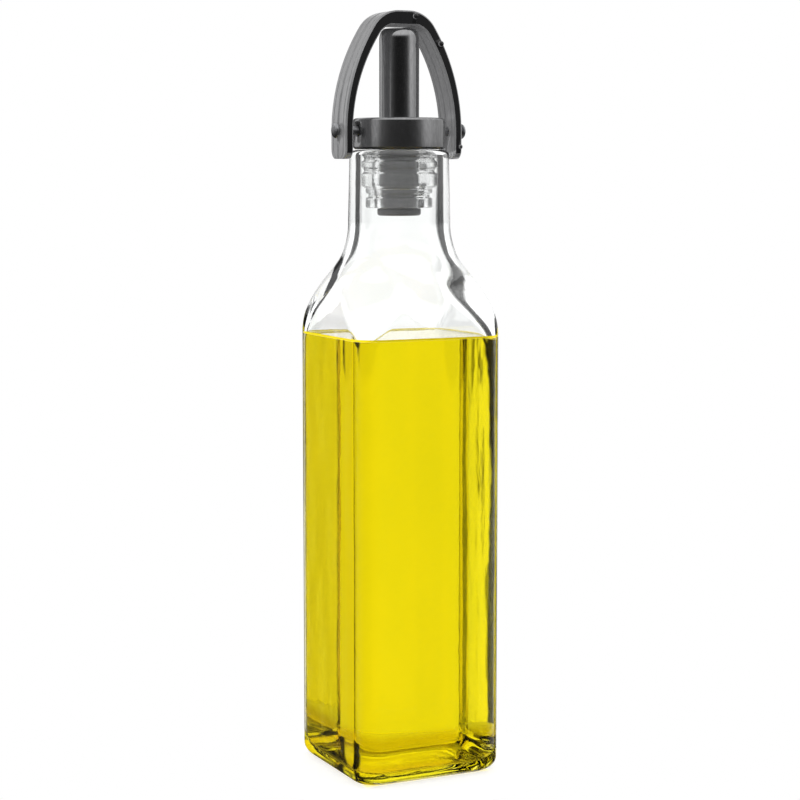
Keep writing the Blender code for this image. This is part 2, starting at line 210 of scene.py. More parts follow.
def arc_points(centre, radius, first, last, count):
    """Points (x, z) of an arc between two directions in degrees."""
    found = []
    for turn in steps(math.radians(first), math.radians(last), count):
        found.append((centre[0] + radius * math.cos(turn), centre[1] + radius * math.sin(turn)))
    return found


def round_corners(profile, radius, count=3):
    """The closed (x, z) profile with each corner replaced by a small arc-like curve."""
    longest_cut = 0.45
    found = []
    for i, (x, z) in enumerate(profile):
        before = profile[i - 1]
        after = profile[(i + 1) % len(profile)]
        reach_in = math.hypot(before[0] - x, before[1] - z)
        reach_out = math.hypot(after[0] - x, after[1] - z)
        cut = min(radius, longest_cut * reach_in, longest_cut * reach_out)
        start = (x + (before[0] - x) * cut / reach_in, z + (before[1] - z) * cut / reach_in)
        end = (x + (after[0] - x) * cut / reach_out, z + (after[1] - z) * cut / reach_out)
        for t in steps(0, 1, count):
            a, b, c = (1 - t) ** 2, 2 * t * (1 - t), t * t
            found.append((a * start[0] + b * x + c * end[0], a * start[1] + b * z + c * end[1]))
    return found


def skin_rings(mesh, rings, slots=None):
    """Faces between each ring of vertices and the next, with a material slot for each band."""
    for band, (lower, upper) in enumerate(zip(rings, rings[1:])):
        for i, corner in enumerate(lower):
            j = (i + 1) % len(lower)
            face = mesh.faces.new((corner, lower[j], upper[j], upper[i]))
            if slots:
                face.material_index = slots[band]


def fan(mesh, ring, centre, slot=0):
    """Close a ring with triangles that meet at one point."""
    tip = mesh.verts.new(centre)
    for i, corner in enumerate(ring):
        face = mesh.faces.new((corner, ring[(i + 1) % len(ring)], tip))
        face.material_index = slot


def new_piece(name, mesh, materials, crease=40):
    """An object from a bmesh: outward faces, smooth except at edges sharper than crease degrees."""
    bmesh.ops.recalc_face_normals(mesh, faces=mesh.faces)
    data = bpy.data.meshes.new(name)
    mesh.to_mesh(data)
    mesh.free()
    data.shade_smooth()
    data.set_sharp_from_angle(angle=math.radians(crease))
    made = bpy.data.objects.new(name, data)
    bpy.context.scene.collection.objects.link(made)
    for material in materials:
        data.materials.append(material)
    return made


def turned_rings(mesh, profile, sides):
    """Rings of vertices round the Z axis, one for each (radius, height) point."""
    rings = []
    for radius, z in profile:
        ring = []
        for i in range(sides):
            turn = 2 * math.pi * i / sides
            ring.append(mesh.verts.new((radius * math.cos(turn), radius * math.sin(turn), z)))
        rings.append(ring)
    return rings


def turned_loop(name, profile, materials, sides, crease):
    """A solid of revolution with a hole: the closed profile is turned round the Z axis."""
    mesh = bmesh.new()
    rings = turned_rings(mesh, profile, sides)
    skin_rings(mesh, rings + rings[:1])
    return new_piece(name, mesh, materials, crease)


def round_bar(radius, length, sides):
    """A closed cylinder along its own Z axis."""
    mesh = bmesh.new()
    bmesh.ops.create_cone(
        mesh, cap_ends=True, segments=sides, radius1=radius, radius2=radius, depth=length
    )
    return mesh


def change_shape(piece, mesh, place, operation):
    """Cut the mesh from the piece or add it, with its Z axis laid along X and its middle at place."""
    helper = new_piece("helper", mesh, [])
    helper.location = place
    helper.rotation_euler = (0, math.pi / 2, 0)
    bpy.context.view_layer.update()
    change = piece.modifiers.new("Change", "BOOLEAN")
    change.operation = operation
    change.solver = "EXACT"
    change.object = helper
    bpy.context.view_layer.objects.active = piece
    with bpy.context.temp_override(object=piece, active_object=piece):
        bpy.ops.object.modifier_apply(modifier=change.name)
    bpy.data.objects.remove(helper)


def keep(piece, body, node):
    """Hang the piece on the body that carries it, and hide the node's part that it stands for."""
    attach(piece, body)
    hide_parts(node)


# Materials


def bottle_glass(name, wetted):
    """Soda-lime bottle glass, blown in a mould. The mould leaves slow waves that bend what is seen
    through the walls. Where oil wets it, its surface mirrors nothing, as the two bend light alike.
    The thick base is filled with the yellow light that the oil sends down into it."""
    looks = bpy.context.scene.oil_dispenser_looks
    wave_size = 0.016
    seed_size = 0.0045
    seed_share = 0.12
    drawn_out = (1, 1, 0.45)
    base_glow_foot = 0.004
    base_glow_end = 0.0085
    made, tree, shader = new_material(name)
    pale, white = linear("#fafcfb"), linear("#ffffff")
    waves, clear = mottle(tree, pale, white, size=wave_size, scale=drawn_out, detail=1.5)
    seeds = lumps(tree, seed_size, drawn_out)
    added = {0: seeds, 1: seed_share, 2: waves}
    height = add_node(tree, "Math", {"operation": "MULTIPLY_ADD"}, added).outputs["Value"]
    relief = add_node(tree, "Bump", {}, {"Height": height, "Distance": looks.wave_depth})
    glow = (*looks.base_colour, 1)
    _, tint = climb(tree, base_glow_foot, base_glow_end, glow, clear, "SMOOTHSTEP")
    surface = {
        "Base Color": tint,
        "Roughness": 0.0,
        "IOR": 1.52,
        "Transmission Weight": 1.0,
        "Specular Tint": (0, 0, 0, 1) if wetted else (1, 1, 1, 1),
        "Normal": relief.outputs["Normal"],
    }
    feed(shader, surface)
    return made


def cooking_oil():
    """Refined cooking oil: a clear liquid whose yellow deepens with the way light takes through it.
    Its level surface shows the yellow light that the oil scatters upwards."""
    looks = bpy.context.scene.oil_dispenser_looks
    drift_size = 0.03
    surface_foot = bottle_sizes().oil_level - 0.00015
    surface_end = bottle_sizes().oil_level - 0.00005
    surface_clearness = 0.4
    made, tree, shader = new_material("refined_cooking_oil")
    yellowish, white = linear("#fdfbe8"), linear("#fffef2")
    _, clear = mottle(tree, yellowish, white, size=drift_size, scale=(1, 1, 0.3), detail=1.0)
    scattered = (*looks.surface_colour, 1)
    level, tint = climb(tree, surface_foot, surface_end, clear, scattered)
    clearness = {"Value": level, "To Min": 1.0, "To Max": surface_clearness}
    surface = {
        "Base Color": tint,
        "Roughness": 0.0,
        "IOR": 1.47,
        "Specular Tint": (0, 0, 0, 1),
        "Transmission Weight": add_node(tree, "MapRange", {}, clearness).outputs["Result"],
    }
    feed(shader, surface)
    depth = {"Color": (*looks.oil_colour, 1), "Density": looks.oil_density}
    body = add_node(tree, "VolumeAbsorption", {}, depth)
    feed(tree.nodes["Material Output"], {"Volume": body.outputs["Volume"]})
    return made


def plated_plastic(name, finish_colour):
    """Injection-moulded ABS with a black-nickel plating. It is a dark mirror that the fine grain of
    the mould softens, so it goes from nearly black to light grey with what it faces."""
    metallic, roughness, grain_size, grain_depth = FINISHES[name]
    darkest = 0.86
    lightest = 1.12
    cloud_size = 0.006
    spread = 0.03
    drawn_out = (1, 1, 0.25)
    made, tree, shader = new_material(name)
    dark = (*(darkest * v for v in finish_colour), 1)
    light = (*(min(1.0, lightest * v) for v in finish_colour), 1)
    fine = {"size": grain_size, "scale": drawn_out, "detail": 3.0, "roughness": 0.6}
    grain, tint = mottle(tree, dark, light, **fine)
    cloud = lumps(tree, cloud_size, drawn_out)
    softness = {"Value": cloud, "To Min": roughness - spread, "To Max": roughness + spread}
    relief = add_node(tree, "Bump", {}, {"Height": grain, "Distance": grain_depth})
    surface = {
        "Base Color": tint,
        "Metallic": metallic,
        "Roughness": add_node(tree, "MapRange", {}, softness).outputs["Result"],
        "Normal": relief.outputs["Normal"],
    }
    feed(shader, surface)
    return made


def core_plastic():
    """Injection-moulded polypropylene, unplated: dark grey with a dull sheen, and darker towards the
    collar, which keeps the light off it."""
    flow_size = 0.0015
    flow_depth = 0.00001
    shade_foot = MOUTH - 0.012
    shade_end = MOUTH - 0.001
    made, tree, shader = new_material("moulded_polypropylene_core")
    dark, light, shaded = linear("#2c2c2d"), linear("#363637"), linear("#060606")
    flow, plain = mottle(tree, dark, light, size=flow_size, scale=(1, 1, 0.3))
    _, tint = climb(tree, shade_foot, shade_end, plain, shaded)
    softness = {"Value": flow, "To Min": 0.42, "To Max": 0.55}
    relief = add_node(tree, "Bump", {}, {"Height": flow, "Distance": flow_depth})
    surface = {
        "Base Color": tint,
        "Roughness": add_node(tree, "MapRange", {}, softness).outputs["Result"],
        "IOR": 1.49,
        "Normal": relief.outputs["Normal"],
    }
    feed(shader, surface)
    return made


def seal_vinyl():
    """Clear flexible vinyl, moulded: it lets light through with a slight haze and mould ripples, and
    looks darker at its top, where the collar keeps the light off it."""
    ripple_size = 0.0022
    ripple_depth = 0.00005
    shade_foot = MOUTH - 0.0045
    shade_end = MOUTH - 0.0005
    made, tree, shader = new_material("clear_flexible_vinyl")
    hazy, pale, shaded = linear("#dcdddd"), linear("#f4f4f4"), linear("#6c6c6c")
    ripple, clear = mottle(tree, hazy, pale, size=ripple_size)
    _, tint = climb(tree, shade_foot, shade_end, clear, shaded, "SMOOTHSTEP")
    relief = add_node(tree, "Bump", {}, {"Height": ripple, "Distance": ripple_depth})
    surface = {
        "Base Color": tint,
        "Roughness": 0.13,
        "IOR": 1.5,
        "Transmission Weight": 1.0,
        "Normal": relief.outputs["Normal"],
    }
    feed(shader, surface)
    return made


def pin_steel():
    """Bright mild steel wire, cut and headed: fine turning lines on a clean metal."""
    line_size = 0.0006
    line_depth = 0.00002
    made, tree, shader = new_material("headed_bright_steel")
    dark, light = linear("#8d8e90"), linear("#bdbec0")
    lines, tint = mottle(tree, dark, light, size=line_size, scale=(6, 1, 1))
    softness = {"Value": lines, "To Min": 0.36, "To Max": 0.5}
    relief = add_node(tree, "Bump", {}, {"Height": lines, "Distance": line_depth})
    surface = {
        "Base Color": tint,
        "Metallic": 1.0,
        "Roughness": add_node(tree, "MapRange", {}, softness).outputs["Result"],
        "Normal": relief.outputs["Normal"],
    }
    feed(shader, surface)
    return made


def table_acrylic(stage):
    """Opal acrylic sheet, cast matt and lit evenly from below, as on a product table. Under the
    bottle it shows the yellow light that comes down through the oil."""
    grain_size = 0.004
    glow_end = 0.0212
    glow_out = 0.0224
    made, tree, shader = new_material("lit_product_table")
    dull, white = linear("#f0f0f0"), linear("#f6f6f6")
    _, tint = mottle(tree, dull, white, size=grain_size)
    place = add_node(tree, "TexCoord").outputs["Object"]
    quarter = add_node(tree, "VectorMath", {"operation": "ABSOLUTE"}, {0: place})
    parts = add_node(tree, "SeparateXYZ", {}, {"Vector": quarter.outputs["Vector"]}).outputs
    reach = add_node(tree, "Math", {"operation": "MAXIMUM"}, {0: parts["X"], 1: parts["Y"]})
    limits = {"From Min": glow_end, "From Max": glow_out, "Value": reach.outputs["Value"]}
    beyond = add_node(tree, "MapRange", {"interpolation_type": "SMOOTHSTEP"}, limits)
    fading = beyond.outputs["Result"]
    under_to_open = ((0.0, (*stage.table_glow_under, 1)), (1.0, linear("#ffffff")))
    glow = add_node(tree, "ValToRGB", {}, {"Fac": fading}, under_to_open)
    strength = {"Value": fading, "To Min": stage.bottle_glow, "To Max": stage.table_glow}
    surface = {
        "Base Color": tint,
        "Roughness": 0.9,
        "Specular IOR Level": 0.0,
        "Emission Color": glow.outputs["Color"],
        "Emission Strength": add_node(tree, "MapRange", {}, strength).outputs["Result"],
    }
    feed(shader, surface)
    return made


# The bottle's form


def bottle_sizes():
    """The sizes of the bottle that the user can change."""
    return bpy.context.scene.oil_dispenser_sizes


def shoulder_half(z, start, wide, narrow, arcs):
    """Half the width across the flats at height z: two tangent arcs lead from body to neck."""
    outward, inward = arcs
    turn = math.acos(1 - (wide - narrow) / (outward + inward))
    middle = start + outward * math.sin(turn)
    end = middle + inward * math.sin(turn)
    if z <= start:
        return wide
    if z < middle:
        return wide - outward + math.sqrt(outward**2 - (z - start) ** 2)
    if z < end:
        return narrow + inward - math.sqrt(inward**2 - (end - z) ** 2)
    return narrow


def flat_half(z):
    """Half the length of an outer flat at height z. It falls to nothing where the neck is round."""
    sizes = bottle_sizes()
    fade = 1 - smooth_step(z, sizes.corners_start, sizes.corners_end)
    return (sizes.body_side / 2 - sizes.body_corner) * fade


def outer_half(z):
    """Half the outer width across the flats, with the neck's draft."""
    sizes = bottle_sizes()
    wide = sizes.body_side / 2
    half = shoulder_half(z, sizes.shoulder_start, wide, sizes.neck_radius, SHOULDER_ARCS)
    return half - NECK_DRAFT * max(0.0, z - sizes.neck_foot)


def cavity_half(z):
    """Half the cavity's width across the flats."""
    sizes = bottle_sizes()
    wide = sizes.body_side / 2 - sizes.wall
    start = sizes.shoulder_start - CAVITY_DROP
    return shoulder_half(z, start, wide, sizes.bore_radius, CAVITY_ARCS)


def cavity_flat(z):
    """Half the length of a flat of the cavity, whose corners are rounder than the outer ones
    in the shoulder, where blown glass gathers."""
    sizes = bottle_sizes()
    fade = 1 - smooth_step(z, sizes.cavity_corners_start, sizes.cavity_corners_end)
    return min(flat_half(z), flat_half(0) * fade)


def floor_sections(side, floor):
    """The sections of a floor from its middle out to the wall, rounded where they meet."""
    corner = bottle_sizes().floor_corner
    inner = side - corner
    flat_share = flat_half(0) / side
    found = []
    for share in (0.12, 0.3, 0.5, 0.7, 0.85):
        width = inner * share
        found.append((width, width * flat_share, floor + FLOOR_RISE * (1 - share**2)))
    for turn in steps(math.pi / 2, 0, 8):
        width = inner + corner * math.cos(turn)
        found.append((width, width * flat_share, floor + corner * (1 - math.sin(turn))))
    found.append((side, flat_half(0), floor + corner + EDGE_BAND))
    return found


def section_ring(mesh, sides, half, flat, z, ripple=0.0):
    """Vertices evenly spaced round the rounded square that one section is: half its width, half the
    length of its flats and its height. A ripple lifts them in waves, four vertices long."""
    radius = half - flat
    quarter = sides // 4
    reach = 2 * flat + radius * math.pi / 2
    ring = []
    for i in range(sides):
        side, along = divmod(i, quarter)
        way = (along + 0.5) * reach / quarter
        if way < flat:
            x, y = half, way
        elif way < flat + radius * math.pi / 2:
            turn = (way - flat) / radius
            x, y = flat + radius * math.cos(turn), flat + radius * math.sin(turn)
        else:
            x, y = reach - way, half
        for _ in range(side):
            x, y = -y, x
        lift = ripple * (0.5 - 0.5 * math.cos(math.pi * i / 2))
        ring.append(mesh.verts.new((x, y, z + lift)))
    return ring


# Pieces


class OIL_OT_glass_bottle(bpy.types.Operator):
    """Build the glass: one skin up the outside, over the lip and down the cavity"""

    bl_idname = "oil_dispenser.glass_bottle"
    bl_label = "Glass Bottle"

    def execute(self, context):
        sizes = bottle_sizes()
        sides = 384
        dry = self.underside() + self.outside() + self.lip()
        for z in steps(sizes.neck_foot, sizes.corners_start, 40):
            dry.append((cavity_half(z), cavity_flat(z), z))
        wet = self.wetted()
        mesh = bmesh.new()
        rings = [section_ring(mesh, sides, *section) for section in dry + wet]
        skin_rings(mesh, rings, [0] * len(dry) + [1] * len(wet))
        fan(mesh, rings[0], (0, 0, UNDERSIDE_RISE))
        fan(mesh, rings[-1], (0, 0, sizes.floor_height + FLOOR_RISE), 1)
        glass = bottle_glass("blown_soda_lime_glass", False)
        wetted = bottle_glass("blown_soda_lime_glass_wetted", True)
        piece = new_piece("glass_bottle", mesh, [glass, wetted], 50)
        keep(piece, BOTTLE_BODY, "bottle")
        return {"FINISHED"}

    def underside(self):
        """The pushed-up middle, the rim that it stands on, with fine ribs, and the rounded heel."""
        sizes = bottle_sizes()
        heel = sizes.heel_radius
        corner_gather = 0.0038
        rim_width = 0.0027
        rim_edge = 0.0006
        rib_height = 0.00045
        rim_outer = sizes.body_side / 2 - heel
        rim_inner = rim_outer - rim_width
        flat_share = (flat_half(0) - corner_gather) / rim_outer
        found = []
        for share in (0.15, 0.35, 0.55, 0.7, 0.82, 0.91, 0.96, 1.0):
            width = rim_inner * share
            found.append((width, width * flat_share, UNDERSIDE_RISE * (1 - share**4)))
        for width in (rim_inner + rim_edge, rim_outer - rim_edge):
            found.append((width, width * flat_share, 0.0, rib_height))
        for turn in steps(0, math.pi / 2, 10):
            width = rim_outer + heel * math.sin(turn)
            flat = flat_half(0) - corner_gather * (1 - math.sin(turn))
            found.append((width, flat, heel * (1 - math.cos(turn))))
        return found

    def outside(self):
        """The flat sides, and the shoulder up to the neck."""
        sizes = bottle_sizes()
        found = [(sizes.body_side / 2, flat_half(0), sizes.heel_radius + EDGE_BAND)]
        for z in steps(sizes.corners_start, sizes.neck_foot, 40):
            found.append((outer_half(z), flat_half(z), z))
        return found

    def lip(self):
        """The lip of the mouth, rounded more on its outer side than on its inner side."""
        bore = bottle_sizes().bore_radius
        outer = 0.0015
        inner = 0.0005
        foot = MOUTH - outer
        centre = outer_half(foot) - outer
        found = [(outer_half(foot - EDGE_BAND), 0.0, foot - EDGE_BAND)]
        for turn in steps(0, math.pi / 2, 6):
            found.append((centre + outer * math.cos(turn), 0.0, foot + outer * math.sin(turn)))
        for turn in steps(0, math.pi / 2, 3):
            width = bore + inner * (1 - math.sin(turn))
            found.append((width, 0.0, MOUTH - inner * (1 - math.cos(turn))))
        found.append((bore, 0.0, MOUTH - inner - EDGE_BAND))
        return found

    def wetted(self):
        """The cavity below the oil's level, down to the middle of its floor."""
        sizes = bottle_sizes()
        side = sizes.body_side / 2 - sizes.wall
        found = [(side, cavity_flat(sizes.oil_level), sizes.oil_level)]
        found.append((side, flat_half(0), sizes.cavity_corners_start))
        return found + floor_sections(side, sizes.floor_height)[::-1]


class OIL_OT_oil_fill(bpy.types.Operator):
    """Build the oil: it reaches just into the walls, and climbs them a little at its top"""

    bl_idname = "oil_dispenser.oil_fill"
    bl_label = "Oil"

    def execute(self, context):
        sizes = bottle_sizes()
        overlap = 0.00006
        climb_width = 0.0009
        sides = 256
        level = sizes.oil_level
        side = sizes.body_side / 2 - sizes.wall + overlap
        floor = sizes.floor_height - overlap
        flat_share = flat_half(0) / side
        sections = floor_sections(side, floor)
        sections.append((side, flat_half(0), level - EDGE_BAND))
        sections.append((side, flat_half(0), level + sizes.meniscus))
        for inset in (0.0001, 0.0003, 0.0006, 0.001, 0.0016, 0.0024, 0.0036, 0.006):
            width = side - inset
            height = level + sizes.meniscus * math.exp(-inset / climb_width)
            sections.append((width, width * flat_share, height))
        mesh = bmesh.new()
        rings = [section_ring(mesh, sides, *section) for section in sections]
        skin_rings(mesh, rings)
        fan(mesh, rings[0], (0, 0, floor + FLOOR_RISE))
        fan(mesh, rings[-1], (0, 0, level))
        piece = new_piece("oil_fill", mesh, [cooking_oil()], 60)
        keep(piece, BOTTLE_BODY, "oil")
        return {"FINISHED"}


class OIL_OT_collar(bpy.types.Operator):
    """Build the collar that rests on the mouth, with the stepped holes of the two pins"""

    bl_idname = "oil_dispenser.collar"
    bl_label = "Collar"

    def execute(self, context):
        radius = COLLAR_HIGH.x
        low = COLLAR_LOW.z
        high = COLLAR_HIGH.z
        bore_edge = 0.0003
        top_edge = 0.0009
        foot_edge = 0.0006
        profile = [(SEAL_BORE, high - bore_edge), (SEAL_BORE + bore_edge, high)]
        profile += arc_points((radius - top_edge, high - top_edge), top_edge, 90, 0, 5)
        profile += [(radius, low + foot_edge), (radius - foot_edge, low), (SEAL_BORE, low)]
        looks = context.scene.oil_dispenser_looks
        plating = plated_plastic("black_nickel_collar", looks.shell_colour)
        piece = turned_loop("collar_ring", profile, [plating], 128, 35)
        recess_radius = 0.0022
        recess_end = radius - 0.0016
        hole_end = 0.0102
        outside = radius + 0.003
        for side in (-1, 1):
            for hole_radius, end in ((recess_radius, recess_end), (PIN_HOLE, hole_end)):
                length = outside - end
                place = (side * (end + length / 2), 0, HINGE_HEIGHT)
                change_shape(piece, round_bar(hole_radius, length, 40), place, "DIFFERENCE")
        keep(piece, BOTTLE_BODY, "collar")
        return {"FINISHED"}


class OIL_OT_pouring_tube(bpy.types.Operator):
    """Build the pouring tube: plated above the mouth, and bare with a flange inside the seal"""

    bl_idname = "oil_dispenser.pouring_tube"
    bl_label = "Pouring Tube"

    def execute(self, context):
        looks = context.scene.oil_dispenser_looks
        plating = plated_plastic("black_nickel_tube", looks.tube_colour)
        piece = turned_loop("pouring_tube", self.profile(), [plating, core_plastic()], 128, 35)
        for face in piece.data.polygons:
            if face.center.z < MOUTH and math.hypot(face.center.x, face.center.y) > TUBE_BORE:
                face.material_index = 1
        keep(piece, BOTTLE_BODY, "spout")
        return {"FINISHED"}

    def profile(self):
        """From the rim of the bore over the rounded top and down the outside to the flange."""
        radius = 0.0063
        waist = 0.0058
        waist_slope = 0.0003
        rim = 0.0002
        round_in = 0.0018
        round_down = 0.0034
        shoulder = MOUTH + 0.0005
        flange_low = SPOUT_LOW.z
        flange_high = flange_low + 0.0022
        flange_edge = 0.0066
        flange_round = 0.0003
        foot_edge = 0.0061
        foot_round = 0.0008
        top = SPOUT_HIGH.z
        found = arc_points((TUBE_BORE + rim, top - rim), rim, 180, 90, 4)
        for turn in steps(0, math.pi / 2, 20)[1:]:
            out = radius - round_in * (1 - math.sin(turn))
            found.append((out, top - round_down * (1 - math.cos(turn))))
        found += [(radius, shoulder), (radius, WAIST_TOP), (waist, WAIST_TOP - waist_slope)]
        found += [(waist, flange_high), (flange_edge, flange_high)]
        found += arc_points((flange_edge, flange_high - flange_round), flange_round, 90, 0, 3)
        found += arc_points((foot_edge, flange_low + foot_round), foot_round, 0, -90, 6)
        found.append((TUBE_BORE, flange_low))
        return found


class OIL_OT_ribbed_seal(bpy.types.Operator):
    """Build the clear ribbed seal between the tube and the neck"""

    bl_idname = "oil_dispenser.ribbed_seal"
    bl_label = "Ribbed Seal"

    def execute(self, context):
        low = SEAL_LOW.z
        wide_radius = 0.0120
        narrow_radius = 0.0106
        narrow_top = SEAL_STEP - 0.0008
        waist = 0.0061
        waist_top = WAIST_TOP - 0.0009
        slope_top = WAIST_TOP - 0.0006
        profile = self.ribs(wide_radius, MOUTH, SEAL_STEP, 3)
        profile += self.ribs(narrow_radius, narrow_top, low, 2)
        profile += [(waist, low), (waist, waist_top), (SEAL_BORE, slope_top), (SEAL_BORE, MOUTH)]
        corner_round = 0.0003
        rounded = round_corners(profile, corner_round)
        piece = turned_loop("ribbed_seal", rounded, [seal_vinyl()], 96, 50)
        keep(piece, BOTTLE_BODY, "seal_sleeve")
        return {"FINISHED"}

    def ribs(self, radius, top, bottom, count):
        """Down one ribbed stretch of the seal: flat crests between sloped grooves."""
        groove_depth = 0.0008
        groove = radius - groove_depth
        crest_share = 0.45
        groove_start = 0.62
        groove_end = 0.83
        pitch = (top - bottom) / count
        found = []
        for i in range(count):
            crest = top - pitch * i
            found += [(radius, crest), (radius, crest - crest_share * pitch)]
            if i < count - 1:
                found += [(groove, crest - share * pitch) for share in (groove_start, groove_end)]
        found.append((radius, bottom))
        return found


class OIL_OT_bail(bpy.types.Operator):
    """Build the arched bail strap, with its grooves, pin holes and nubs"""

    bl_idname = "oil_dispenser.bail"
    bl_label = "Bail"

    arm_thickness = 0.0026
    crown_extra = 0.0013  # how much thicker the strap is at its crown
    crown_turn = math.radians(70)  # how far it leans inwards where it has its full thickness
    flat_height = 0.0386  # how far above the mouth the underside of the crown is flat
    nub_radius = 0.0009
    # How far to the right of the middle, back, and above the mouth each nub is
    nub_places = ((0.0037, 0, 0.0415), (0.0126, 0, 0.0332), (0.0197, 0.0006, 0.0011))

    def execute(self, context):
        looks = context.scene.oil_dispenser_looks
        strap = plated_plastic("black_nickel_strap", looks.strap_colour)
        # The near-black edge colour is painted dark reflection: the strap's front and back edges show
        # the dark room on the camera side. On the nubs it is their own black.
        edge = plated_plastic("painted_dark_edge_and_black_nub", looks.painted_dark_edge_and_nub_colour)
        middle = (BAIL_LOW.x + BAIL_HIGH.x) / 2
        piece = new_piece("bail_strap", self.strap_mesh(middle), [strap, edge], 30)
        through_both_arms = 0.06
        hole = round_bar(PIN_HOLE, through_both_arms, 48)
        change_shape(piece, hole, (middle, 0, HINGE_HEIGHT), "DIFFERENCE")
        for right, back, rise in self.nub_places:
            nub = bmesh.new()
            bmesh.ops.create_uvsphere(nub, u_segments=24, v_segments=16, radius=self.nub_radius)
            across = back + BAIL_LOW.y + self.nub_radius
            change_shape(piece, nub, (middle + right, across, MOUTH + rise), "UNION")
        nub_end = BAIL_LOW.y + 0.0005
        # Faces that face front or back take the near-black colour as painted dark reflection, and the
        # nubs take it as their own black.
        facing_sideways = 0.9
        for face in piece.data.polygons:
            if abs(face.normal.y) > facing_sideways or face.center.y < nub_end:
                face.material_index = 1
        keep(piece, BAIL_BODY, "bail")
        return {"FINISHED"}

    def strap_mesh(self, middle):
        """The strap from its left foot over the crown to its right foot."""
        right = self.stations()
        left = [(-x, z, -out_x, out_z, thick, half) for x, z, out_x, out_z, thick, half in right]
        mesh = bmesh.new()
        rings = []
        for x, z, out_x, out_z, thick, half in left + right[::-1]:
            ring = []
            for across, inward in self.outline(half, thick):
                level = z - out_z * inward
                if inward >= thick / 2:
                    level = min(level, MOUTH + self.flat_height + thick - inward)
                ring.append(mesh.verts.new((middle + x - out_x * inward, across, level)))
            rings.append(ring)
        skin_rings(mesh, rings)
        mesh.faces.new(rings[0])
        mesh.faces.new(rings[-1])
        return mesh

    def stations(self):
        """(x, z, outward x, outward z, thickness, half width) up the right half, foot to crown."""
        half_width = 0.0058
        half_span = 0.0202
        side_arc = 0.061
        crown_arc = 0.0104
        foot_round = 0.003
        foot = BAIL_LOW.z
        arc_foot = MOUTH + 0.0055
        crown_z = BAIL_HIGH.z - crown_arc
        found = []

        def station(x, z, turn, half):
            found.append((x, z, math.cos(turn), math.sin(turn), self.thickness(turn), half))

        for turn in steps(0, math.pi / 2, 8):
            half = half_width - foot_round * (1 - math.sin(turn))
            station(half_span, foot + foot_round * (1 - math.cos(turn)), 0, half)
        switch = math.asin((crown_z - arc_foot) / (side_arc - crown_arc))
        for turn in steps(0, switch, 28):
            x = half_span - side_arc * (1 - math.cos(turn))
            station(x, arc_foot + side_arc * math.sin(turn), turn, half_width)
        centre = found[-1][0] - crown_arc * math.cos(switch)
        for turn in steps(switch, math.pi / 2, 20)[1:]:
            x = centre + crown_arc * math.cos(turn)
            station(x, crown_z + crown_arc * math.sin(turn), turn, half_width)
        return found

    def thickness(self, turn):
        """The strap thickens from its arms to its crown."""
        return self.arm_thickness + self.crown_extra * smooth_step(turn, 0, self.crown_turn)

    def outline(self, half, thickness):
        """(across, inward) points round the strap: chamfered edges and three grooves on each face."""
        chamfer = 0.00045
        line = half - 0.0021
        line_half = 0.0002
        line_depth = 0.00026
        middle_edge = 0.00085
        middle_half = 0.0005
        middle_depth = 0.00035
        face = [(-half, chamfer), (-half + chamfer, 0)]
        face += [(-line - line_half, 0), (-line, line_depth), (-line + line_half, 0)]
        face += [(-middle_edge, 0), (-middle_half, middle_depth)]
        outer = face + [(-across, inward) for across, inward in reversed(face)]
        inner = [(across, thickness - inward) for across, inward in reversed(outer)]
        return outer + inner


class OIL_OT_pins(bpy.types.Operator):
    """Build the two headed pins that the bail turns on"""

    bl_idname = "oil_dispenser.pins"
    bl_label = "Pins"

    def execute(self, context):
        steel = pin_steel()
        head = 0.0011
        dome = ((0.3, 0.00004), (0.6, 0.00014), (0.82, 0.0004), (0.95, 0.0007), (1.0, 0.001))
        shank = 0.0013
        tip_edge = 0.0002
        for side, (name, (low, high)) in zip((-1, 1), PINS.items()):
            radius = high.z - HINGE_HEIGHT
            reach = high.x - low.x
            profile = [(radius * share, down) for share, down in dome]
            profile += [(radius, head), (shank, head)]
            profile += [(shank, reach - tip_edge), (shank - tip_edge, reach)]
            mesh = bmesh.new()
            rings = turned_rings(mesh, profile, 48)
            skin_rings(mesh, rings)
            fan(mesh, rings[0], (0, 0, 0))
            fan(mesh, rings[-1], (0, 0, reach))
            turn = mathutils.Matrix.Rotation(-side * math.pi / 2, 4, "Y")
            outside = low.x if side < 0 else high.x
            move = mathutils.Matrix.Translation((outside, 0, HINGE_HEIGHT))
            bmesh.ops.transform(mesh, matrix=move @ turn, verts=mesh.verts)
            piece = new_piece("bail_" + name, mesh, [steel], 35)
            keep(piece, BOTTLE_BODY, name)
        return {"FINISHED"}


# Stage


